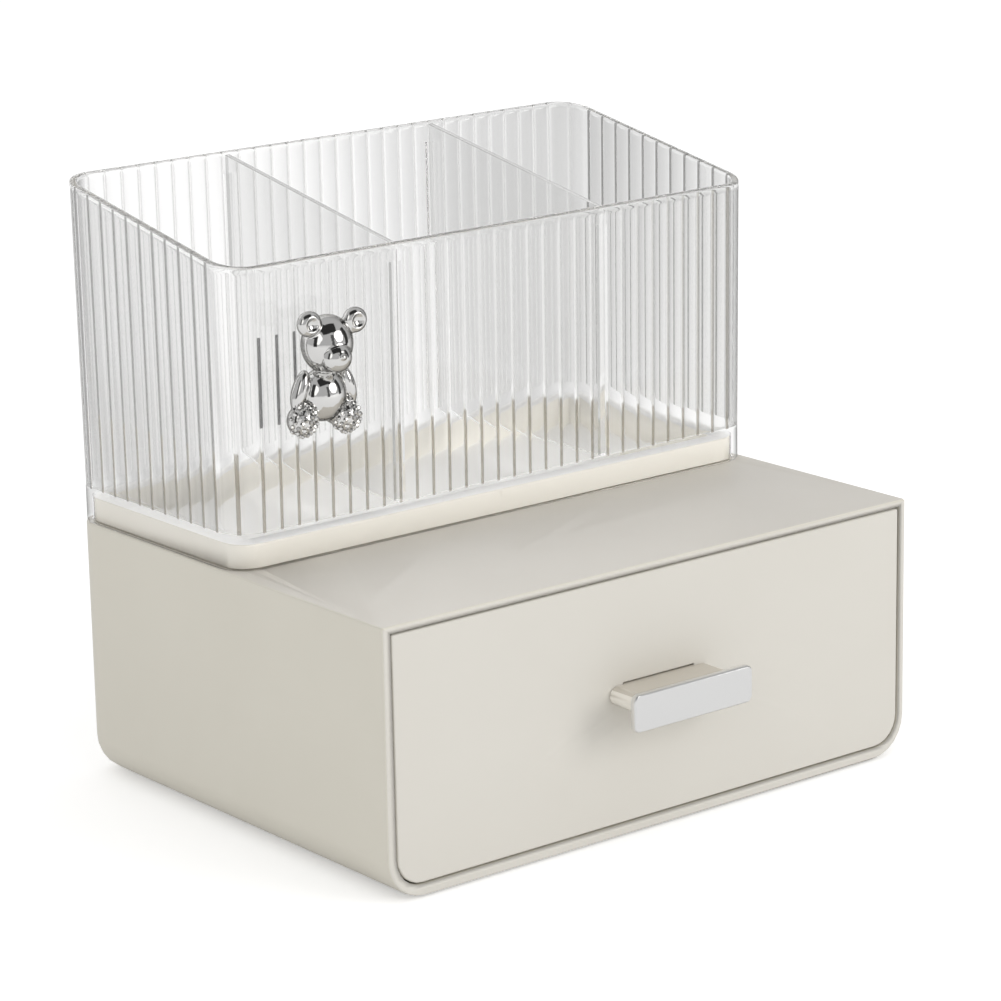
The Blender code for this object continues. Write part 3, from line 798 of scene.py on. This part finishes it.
def makeCup():
    stations = cupStations()
    stages = cupStages()
    bm = bmesh.new()
    bmesh.ops.create_grid(bm, x_segments=len(stations), y_segments=len(stages) - 1, size=0.5)
    for vert in bm.verts:
        station = stations[round((vert.co.x + 0.5) * len(stations)) % len(stations)]
        grow, dipShare, level = stages[round((vert.co.y + 0.5) * (len(stages) - 1))]
        x, y = cupPoint(station, grow, dipShare)
        z = cupRimZ(y) + level[0] if isinstance(level, tuple) else level
        vert.co = (x, y, z)
    bmesh.ops.remove_doubles(bm, verts=bm.verts[:], dist=cupForm["mergeDistance"])
    rims = [edge for edge in bm.edges if edge.is_boundary]
    bmesh.ops.holes_fill(bm, edges=rims, sides=0)
    bmesh.ops.recalc_face_normals(bm, faces=bm.faces[:])
    cup = addPiece("flutedCup", bm, clearPlastic, "cup", sharpAngles["cup"])

    guides = makeGuides()
    join = cup.modifiers.new("guides", "BOOLEAN")
    join.operation = "UNION"
    join.solver = "EXACT"
    join.object = guides
    applyModifiers(cup)
    bpy.data.objects.remove(guides, do_unlink=True)
    smoothShade(cup.data, sharpAngles["cup"])
    cup.data.materials.clear()
    for material in cupFinishes.values():
        cup.data.materials.append(material)
    kinds = list(cupFinishes)
    for polygon in cup.data.polygons:
        polygon.material_index = kinds.index(faceKind(polygon))
        if isSlabFace(polygon):
            polygon.use_smooth = False  # the floor slab's two big faces stay flat
    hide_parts("organizer_cup")


makeCup()
print("fluted cup made")


# Case, tray, drawer and pull: the solids' own shapes with smooth rounded edges

# How far faces have to point one way to take another material, mostly a lit or shaded copy of their
# own (painted light and shade), and how near the piece's limit some of them have to be
facing = {
    "front": 0.8, "frontDepth": 0.001,
    "roof": 0.95, "roofDepth": 0.0005,
    "tray": 0.9, "stemTopShade": 0.7, "plateEdge": 0.7,
}

case = finishNode("case_shell", caseCream, "case")
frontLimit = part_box("drawer_front")[0].y + facing["frontDepth"]
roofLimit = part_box("case_shell")[1].z - facing["roofDepth"]
# Painted light: the case's front faces take the drawer front's lighter, more neutral cream instead
# of the sides' cream
refinishOrPaintLight(
    case, frontCream, lambda face: face.normal.y < -facing["front"] and face.center.y < frontLimit
)
# Painted shade: the case's top faces take a darker, cooler cream than its sides
refinishOrPaintLight(case, roofCreamShaded, lambda face: face.normal.z > facing["roof"] and face.center.z > roofLimit)

tray = finishNode("base_tray", trayCream, "case")
trayMiddle = sum(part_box("base_tray"), Vector()) / 2


def facesTrayMiddle(face):
    inward = face.normal.xy.dot((face.center - trayMiddle).xy) < 0
    return inward and abs(face.normal.z) < facing["tray"]


def isPlateEdge(face):
    return abs(face.normal.y) > facing["plateEdge"] or face.normal.z < -facing["plateEdge"]


# Painted light: the tray's upward faces and inner walls take lighter, glowing copies of its cream
refinishOrPaintLight(tray, trayFloorLit, lambda face: face.normal.z > facing["tray"])
refinishOrPaintLight(tray, trayInnerLit, facesTrayMiddle)

finishNode("drawer_front", frontCream, "drawer")
finishNode("drawer_body", caseCream, "drawer")
# Painted light and shade: the stem's sides take the pale tray cream and its top faces a much darker
# cream
stem = finishNode("handle_stem", trayCream, "drawer")
refinishOrPaintLight(stem, stemTopShade, lambda face: face.normal.z > facing["stemTopShade"])
finishNode("handle_plate", plateSatin, "drawer")
for name in ("divider_left", "divider_right"):
    body = name.split("_")[1] + "_divider"
    divider = finishNode(name, clearPlate, body)
    softenTop(divider)
    refinishOrPaintLight(divider, clearSlab, isPlateEdge)
for name, node in frame["nodes"].items():
    if name.startswith("foot_"):
        node.data.materials[0] = footRubber
    if "screw" in name:
        node.data.materials[0] = screwSteel
frame["nodes"]["bear_pad"].data.materials[0] = padFoam
print("solids dressed")


# Bear charm: rounded forms in their own upright place, melted into one skin, stones on its soles

bearForm = {
    "placeX": -0.0723,
    "placeZ": 0.1203,
    "padGap": 0.0003,
    "turn": -4.0,
    "lean": 3.2,
    "sway": 0.070,  # how far the low forms are set to the left of the head, per height below it
    "swayFrom": 0.0260,
    "voxel": 0.00022,
    "forms": (
        # centre (right, out from the wall, up), radii, tilt
        ((0.0, 0.0052, 0.0116), (0.0070, 0.0064, 0.0078), 0),
        ((0.0, 0.0056, 0.0264), (0.0079, 0.0070, 0.0086), 0),
        ((0.0002, 0.0108, 0.0232), (0.0047, 0.0038, 0.0044), 0),
        ((0.0, 0.0146, 0.0240), (0.0011, 0.0007, 0.0008), 0),
    ),
    "pairs": (
        ((0.0077, 0.0080, 0.0331), (0.0039, 0.0025, 0.0038), 0),
        ((0.0081, 0.0056, 0.0136), (0.0023, 0.0026, 0.0060), 17),
        ((0.0048, 0.0050, 0.0060), (0.0036, 0.0042, 0.0034), 0),
        ((0.0073, 0.0066, 0.0050), (0.0045, 0.0041, 0.0046), 0),
    ),
    "earDish": ((0.0077, 0.0117, 0.0331), 0.0027),
    "soleCentre": (0.0073, 0.0066, 0.0050),
    "soleRadii": (0.0045, 0.0041, 0.0046),
    "stoneRadius": 0.00085,
    "stones": 38,
    "stoneCap": 0.92,  # of the front half of a sole
    "ballSegments": (48, 28),
    "smoothing": (0.5, 6),
}


def bearMatrix():
    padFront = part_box("bear_pad")[0].y
    place = Vector((bearForm["placeX"], padFront - bearForm["padGap"], bearForm["placeZ"]))
    turn = Matrix.Rotation(math.radians(bearForm["turn"]), 4, "Z")
    lean = Matrix.Rotation(math.radians(bearForm["lean"]), 4, "Y")
    return Matrix.Translation(place) @ turn @ lean


def swayAt(height):
    return min(0, (height - bearForm["swayFrom"]) * bearForm["sway"])


def addBall(bm, centre, radii, tilt=0):
    place = Matrix.Translation((centre[0] + swayAt(centre[2]), -centre[1], centre[2]))
    turn = Matrix.Rotation(math.radians(tilt), 4, "Y")
    around, upwards = bearForm["ballSegments"]
    bmesh.ops.create_uvsphere(
        bm, u_segments=around, v_segments=upwards, radius=1,
        matrix=place @ turn @ Matrix.Diagonal((*radii, 1)),
    )


def makeBear(whole):
    bm = bmesh.new()
    for centre, radii, tilt in bearForm["forms"]:
        addBall(bm, centre, radii, tilt)
    for centre, radii, tilt in bearForm["pairs"]:
        for side in (-1, 1):
            addBall(bm, (side * centre[0], centre[1], centre[2]), radii, -side * tilt)
    bear = addPiece("bearFigure", bm, bearChrome, "cup")

    bm = bmesh.new()
    centre, radius = bearForm["earDish"]
    for side in (-1, 1):
        addBall(bm, (side * centre[0], centre[1], centre[2]), [radius] * 3)
    dishes = addObject("earDishes", bm)

    melt = bear.modifiers.new("melt", "REMESH")
    melt.mode = "VOXEL"
    melt.voxel_size = bearForm["voxel"]
    hollow = bear.modifiers.new("hollow", "BOOLEAN")
    hollow.operation = "DIFFERENCE"
    hollow.solver = "EXACT"
    hollow.object = dishes
    again = bear.modifiers.new("again", "REMESH")
    again.mode = "VOXEL"
    again.voxel_size = bearForm["voxel"]
    soften = bear.modifiers.new("soften", "SMOOTH")
    soften.factor, soften.iterations = bearForm["smoothing"]
    applyModifiers(bear)
    bpy.data.objects.remove(dishes, do_unlink=True)
    bear.data.transform(whole)

    # The flat back, square to the wall
    bm = bmesh.new()
    bm.from_mesh(bear.data)
    cut = bmesh.ops.bisect_plane(
        bm,
        geom=bm.verts[:] + bm.edges[:] + bm.faces[:],
        plane_co=whole.translation,
        plane_no=(0, 1, 0),
        clear_outer=True,
    )
    rim = [item for item in cut["geom_cut"] if isinstance(item, bmesh.types.BMEdge)]
    bmesh.ops.holes_fill(bm, edges=rim, sides=0)
    bmesh.ops.recalc_face_normals(bm, faces=bm.faces[:])
    bm.to_mesh(bear.data)
    bm.free()
    smoothShade(bear.data, sharpAngles["bear"])
    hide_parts("bear_charm")


def makeStones(whole):
    bm = bmesh.new()
    centre, radii = bearForm["soleCentre"], bearForm["soleRadii"]
    scaling = Matrix.Diagonal((bearForm["stoneRadius"],) * 3 + (1,))
    golden = math.pi * (3 - math.sqrt(5))
    for side in (-1, 1):
        for number in range(bearForm["stones"]):
            # Even spread over the cap that faces forwards
            facing = 1 - bearForm["stoneCap"] * (number + 0.5) / bearForm["stones"]
            ring = math.sqrt(1 - facing * facing)
            angle = golden * number
            normal = Vector((ring * math.cos(angle), -facing, ring * math.sin(angle)))
            seat = Vector((side * centre[0] + swayAt(centre[2]), -centre[1], centre[2]))
            seat += Vector(normal[axis] * radii[axis] for axis in range(3))
            turn = Vector((0, 0, 1)).rotation_difference(normal).to_matrix().to_4x4()
            spin = Matrix.Rotation(golden * number * 3, 4, "Z")
            place = whole @ Matrix.Translation(seat) @ turn @ spin @ scaling
            bmesh.ops.create_icosphere(bm, subdivisions=1, radius=1, matrix=place)
    addPiece("soleStones", bm, bearChrome, "cup")


bearPlace = bearMatrix()
makeBear(bearPlace)
makeStones(bearPlace)
print("bear charm made")


# Studio: pale floor, white surround, soft lamps, and cards that only metal and clear plastic see

studio = {
    "skyLight": 0.84,
    "skyGlossy": 0.48,
    "skyThrough": 1.12,
    "skySeen": 1.0,
    "floorHalf": 6,
    "floorColour": (0.86, 0.86, 0.86),
    "floorRoughness": 0.9,
    "floorSpecular": 0.1,
    "floorLift": 0.34,
    "floorThrough": 0.115,
    "floorStripes": 0.15,
    "stripesPerTurn": 15,
    "stripeTurn": 0.6,
    "middle": (0, 0, 0.08),
    "bear": (-0.07, 0, 0.14),
}
lamps = {
    "keyLamp": {
        "place": (0.75, -1.50, 0.75), "size": 1.1, "power": 8.0, "colour": (1.0, 0.985, 0.96),
    },
    "sideLamp": {
        "place": (-1.6, -0.7, 0.8), "size": 1.2, "power": 3.0, "colour": (1.0, 0.99, 0.96),
    },
}
cards = {
    # centre, what it faces, width and height, level, whether rays through clear plastic see it
    "paleCardBack": ((0.40, 1.49, 0.47), "middle", (2.2, 0.9), 1.0, False),
    "darkCardTop": ((-0.15, -0.55, 1.0), "bear", (1.1, 0.7), 0.03, True),
    "darkCardLeft": ((-0.95, -0.25, 0.45), "bear", (0.3, 0.8), 0.03, True),
    "darkCardFront": ((-0.05, -1.1, 0.35), "bear", (0.22, 0.8), 0.10, True),
    "darkCardRight": ((0.9, -0.55, 0.4), "bear", (0.35, 0.9), 0.04, True),
}


def makeWorld():
    world = bpy.data.worlds.new("studioWorld")
    scene.world = world
    world.use_nodes = True
    nodes, links = world.node_tree.nodes, world.node_tree.links
    background = nodes["Background"]
    background.inputs["Color"].default_value = (1, 1, 1, 1)
    rays = nodes.new("ShaderNodeLightPath")
    strength = None
    for kind, level in (
        ("Is Glossy Ray", "skyGlossy"),
        ("Is Transmission Ray", "skyThrough"),
        ("Is Camera Ray", "skySeen"),
    ):
        mix = addNode(nodes, "ShaderNodeMix", data_type="FLOAT")
        links.new(rays.outputs[kind], mix.inputs[0])
        mix.inputs[2].default_value = studio["skyLight"]
        mix.inputs[3].default_value = studio[level]
        if strength:
            links.new(strength, mix.inputs[2])
        strength = mix.outputs[0]
    links.new(strength, background.inputs["Strength"])


def makeFloor():
    bm = bmesh.new()
    bmesh.ops.create_grid(bm, x_segments=1, y_segments=1, size=studio["floorHalf"])
    material, nodes, links, shader = newMaterial("floorPaper")
    shader.inputs["Base Color"].default_value = (*studio["floorColour"], 1)
    shader.inputs["Roughness"].default_value = studio["floorRoughness"]
    shader.inputs["Specular IOR Level"].default_value = studio["floorSpecular"]
    # White to the camera; through clear walls it shows soft stripes that fan out from the middle
    rays = nodes.new("ShaderNodeLightPath")
    place = nodes.new("ShaderNodeTexCoord")
    parts = splitPlace(nodes, links, place.outputs["Object"])
    turn = addMath(nodes, links, "ARCTAN2", parts["X"], parts["Y"])
    phase = addMath(nodes, links, "MULTIPLY", turn, studio["stripesPerTurn"])
    phase = addMath(nodes, links, "ADD", phase, studio["stripeTurn"])
    wave = addMath(nodes, links, "SINE", phase, 0)
    stripes = addMath(nodes, links, "MULTIPLY", wave, studio["floorStripes"])
    through = addMath(nodes, links, "ADD", stripes, studio["floorThrough"])
    lift = addMath(nodes, links, "MULTIPLY", rays.outputs["Is Camera Ray"], studio["floorLift"])
    behind = addMath(nodes, links, "MULTIPLY", rays.outputs["Is Transmission Ray"], through)
    glow = nodes.new("ShaderNodeEmission")
    links.new(addMath(nodes, links, "ADD", lift, behind), glow.inputs["Strength"])
    total = nodes.new("ShaderNodeAddShader")
    links.new(shader.outputs[0], total.inputs[0])
    links.new(glow.outputs[0], total.inputs[1])
    links.new(total.outputs[0], nodes["Material Output"].inputs["Surface"])
    floor = addObject("studioFloor", bm, material)


def aim(holder, place, target):
    holder.location = place
    holder.rotation_euler = (Vector(target) - Vector(place)).to_track_quat("-Z", "Y").to_euler()


def makeLamps():
    for name, values in lamps.items():
        lamp = bpy.data.lights.new(name, "AREA")
        lamp.shape = "DISK"
        lamp.size = values["size"]
        lamp.energy = values["power"]
        lamp.color = values["colour"]
        holder = bpy.data.objects.new(name, lamp)
        scene.collection.objects.link(holder)
        aim(holder, values["place"], studio["middle"])


def makeCards():
    for name, (centre, faced, size, level, seenThrough) in cards.items():
        bm = bmesh.new()
        bmesh.ops.create_grid(bm, x_segments=1, y_segments=1, size=0.5)
        bmesh.ops.scale(bm, vec=(*size, 1), verts=bm.verts[:])
        material, nodes, links, shader = newMaterial(name)
        nodes.remove(shader)
        glow = nodes.new("ShaderNodeEmission")
        glow.inputs["Strength"].default_value = level
        links.new(glow.outputs[0], nodes["Material Output"].inputs["Surface"])
        card = addObject(name, bm, material)
        aim(card, centre, studio[faced])
        card.visible_camera = False
        card.visible_diffuse = False
        card.visible_transmission = seenThrough
        card.visible_shadow = False


makeWorld()
makeFloor()
makeLamps()
makeCards()
print("studio lit")
